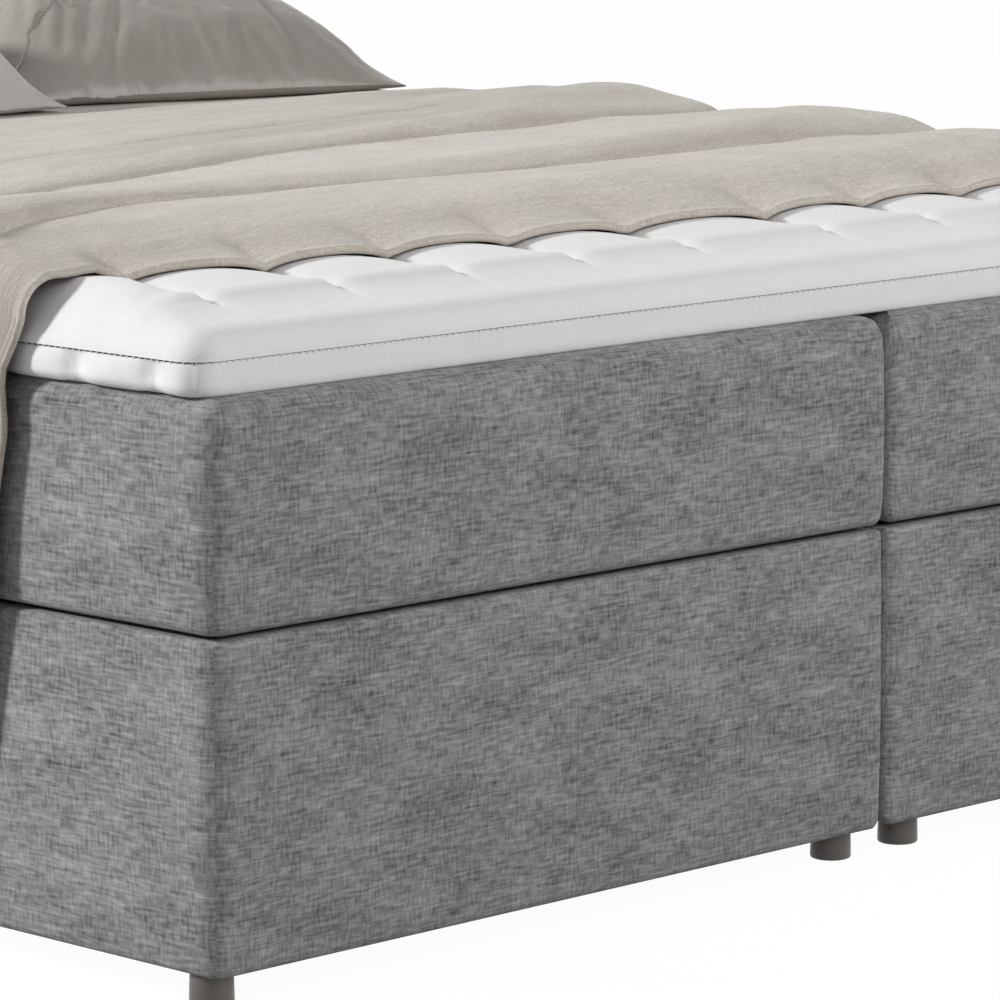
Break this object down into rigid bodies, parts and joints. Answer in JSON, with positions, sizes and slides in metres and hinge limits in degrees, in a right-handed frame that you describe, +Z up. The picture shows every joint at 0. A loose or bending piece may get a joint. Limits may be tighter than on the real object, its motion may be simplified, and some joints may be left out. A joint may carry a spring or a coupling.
{
  "type": "box spring bed",
  "caption": "Box spring bed with upholstered storage bases, hinged spring lids on gas struts, a tufted topper, a draped linen bedspread and satin pillows.",
  "frame": {"origin": "on the floor under the middle of the bed", "axes": "+Z up, +Y from the foot end to the head end, +X across the bed to the right of someone who stands at the foot end and looks to the head end"},
  "size_m": [1.9137, 2, 0.7769],
  "materials": {
    "grey_melange_weave": "matte",
    "topper_cloth": "matte",
    "zip_tape": "matte",
    "spread_linen": "matte",
    "taupe_satin": "satin",
    "pale_satin": "satin",
    "foam": "matte",
    "pocket_fleece": "matte",
    "felt": "matte",
    "panel_wood": "matte",
    "hardboard": "matte",
    "rail_pine": "matte",
    "slat_birch": "satin",
    "black_board": "matte",
    "zinc_steel": "satin",
    "strut_black": "gloss",
    "strut_chrome": "polished",
    "glide_plastic": "satin"
  },
  "bodies": {
    "base": {"foot_left_outer_front": "glide_plastic", "foot_left_outer_head": "glide_plastic", "foot_left_split_front": "glide_plastic", "foot_left_split_head": "glide_plastic", "foot_right_outer_front": "glide_plastic", "foot_right_outer_head": "glide_plastic", "foot_right_split_front": "glide_plastic", "foot_right_split_head": "glide_plastic", "box_connector_front": "zinc_steel", "box_connector_head": "zinc_steel", "base_frame_left": "panel_wood", "bottom_board_left": "hardboard", "base_padding_left": "foam", "base_cover_left": "grey_melange_weave", "base_frame_right": "panel_wood", "bottom_board_right": "hardboard", "base_padding_right": "foam", "base_cover_right": "grey_melange_weave", "lift_plate_left_outer": "zinc_steel", "lift_plate_left_split": "zinc_steel", "lift_plate_right_outer": "zinc_steel", "lift_plate_right_split": "zinc_steel"},
    "lid_left": {"lid_frame_left": "rail_pine", "slat_deck_left": "slat_birch", "underboard_left": "black_board", "edge_foam_left": "foam", "spring_core_left": "pocket_fleece", "felt_pad_left": "felt", "foam_layer_left": "foam", "lid_cover_left": "grey_melange_weave", "lift_arm_left_outer": "zinc_steel", "lift_arm_left_split": "zinc_steel"},
    "lid_right": {"lid_frame_right": "rail_pine", "slat_deck_right": "slat_birch", "underboard_right": "black_board", "edge_foam_right": "foam", "spring_core_right": "pocket_fleece", "felt_pad_right": "felt", "foam_layer_right": "foam", "lid_cover_right": "grey_melange_weave", "lift_arm_right_outer": "zinc_steel", "lift_arm_right_split": "zinc_steel"},
    "tube_left_outer": {"strut_tube_left_outer": "strut_black"},
    "rod_left_outer": {"strut_rod_left_outer": "strut_chrome"},
    "tube_left_split": {"strut_tube_left_split": "strut_black"},
    "rod_left_split": {"strut_rod_left_split": "strut_chrome"},
    "tube_right_outer": {"strut_tube_right_outer": "strut_black"},
    "rod_right_outer": {"strut_rod_right_outer": "strut_chrome"},
    "tube_right_split": {"strut_tube_right_split": "strut_black"},
    "rod_right_split": {"strut_rod_right_split": "strut_chrome"},
    "topper": {"topper_bottom_cover": "topper_cloth", "topper_core": "foam", "topper_zip": "zip_tape", "topper_quilted_top": "topper_cloth"},
    "bedspread": {"bedspread": "spread_linen"},
    "pillow_right": {"pillow_right": "taupe_satin"},
    "pillow_middle": {"pillow_middle": "pale_satin"},
    "pillow_left": {"pillow_left": "taupe_satin"}
  },
  "joints": [
    {"name": "lid_left_hinge", "type": "hinge", "parent": "base", "child": "lid_left", "pos_m": [-0.451, 0.974, 0.362], "axis": [-1, 0, 0], "range_deg": [0, 35]},
    {"name": "lid_right_hinge", "type": "hinge", "parent": "base", "child": "lid_right", "pos_m": [0.451, 0.974, 0.362], "axis": [-1, 0, 0], "range_deg": [0, 35]},
    {"name": "strut_turn_left_outer", "type": "hinge", "parent": "base", "child": "tube_left_outer", "pos_m": [-0.8605, 0.864, 0.122], "axis": [-1, 0, 0], "range_deg": [0, 17.4]},
    {"name": "strut_slide_left_outer", "type": "slide", "parent": "tube_left_outer", "child": "rod_left_outer", "axis": [0, -0.5905, 0.807], "range_m": [0, 0.1272]},
    {"name": "strut_turn_left_split", "type": "hinge", "parent": "base", "child": "tube_left_split", "pos_m": [-0.0415, 0.864, 0.122], "axis": [-1, 0, 0], "range_deg": [0, 17.4]},
    {"name": "strut_slide_left_split", "type": "slide", "parent": "tube_left_split", "child": "rod_left_split", "axis": [0, -0.5905, 0.807], "range_m": [0, 0.1272]},
    {"name": "strut_turn_right_outer", "type": "hinge", "parent": "base", "child": "tube_right_outer", "pos_m": [0.8605, 0.864, 0.122], "axis": [-1, 0, 0], "range_deg": [0, 17.4]},
    {"name": "strut_slide_right_outer", "type": "slide", "parent": "tube_right_outer", "child": "rod_right_outer", "axis": [0, -0.5905, 0.807], "range_m": [0, 0.1272]},
    {"name": "strut_turn_right_split", "type": "hinge", "parent": "base", "child": "tube_right_split", "pos_m": [0.0415, 0.864, 0.122], "axis": [-1, 0, 0], "range_deg": [0, 17.4]},
    {"name": "strut_slide_right_split", "type": "slide", "parent": "tube_right_split", "child": "rod_right_split", "axis": [0, -0.5905, 0.807], "range_m": [0, 0.1272]},
    {"name": "topper_lift", "type": "slide", "parent": "lid_left", "child": "topper", "axis": [0, 0, 1], "range_m": [0, 0.3]},
    {"name": "bedspread_lift", "type": "slide", "parent": "topper", "child": "bedspread", "axis": [0, 0, 1], "range_m": [0, 0.6]},
    {"name": "pillow_right_lift", "type": "slide", "parent": "bedspread", "child": "pillow_right", "axis": [0, 0, 1], "range_m": [0, 0.3]},
    {"name": "pillow_middle_lift", "type": "slide", "parent": "bedspread", "child": "pillow_middle", "axis": [0, 0, 1], "range_m": [0, 0.3]},
    {"name": "pillow_left_lift", "type": "slide", "parent": "bedspread", "child": "pillow_left", "axis": [0, 0, 1], "range_m": [0, 0.3]}
  ],
  "couplings": [
    {"joint": "lid_right_hinge", "follows": "lid_left_hinge", "ratio": 1},
    {"joint": "strut_turn_left_outer", "follows": "lid_left_hinge", "ratio": 0.49555},
    {"joint": "strut_slide_left_outer", "follows": "lid_left_hinge", "m_per_rad": 0.20768},
    {"joint": "strut_turn_left_split", "follows": "lid_left_hinge", "ratio": 0.49555},
    {"joint": "strut_slide_left_split", "follows": "lid_left_hinge", "m_per_rad": 0.20768},
    {"joint": "strut_turn_right_outer", "follows": "lid_left_hinge", "ratio": 0.49555},
    {"joint": "strut_slide_right_outer", "follows": "lid_left_hinge", "m_per_rad": 0.20768},
    {"joint": "strut_turn_right_split", "follows": "lid_left_hinge", "ratio": 0.49555},
    {"joint": "strut_slide_right_split", "follows": "lid_left_hinge", "m_per_rad": 0.20768}
  ]
}
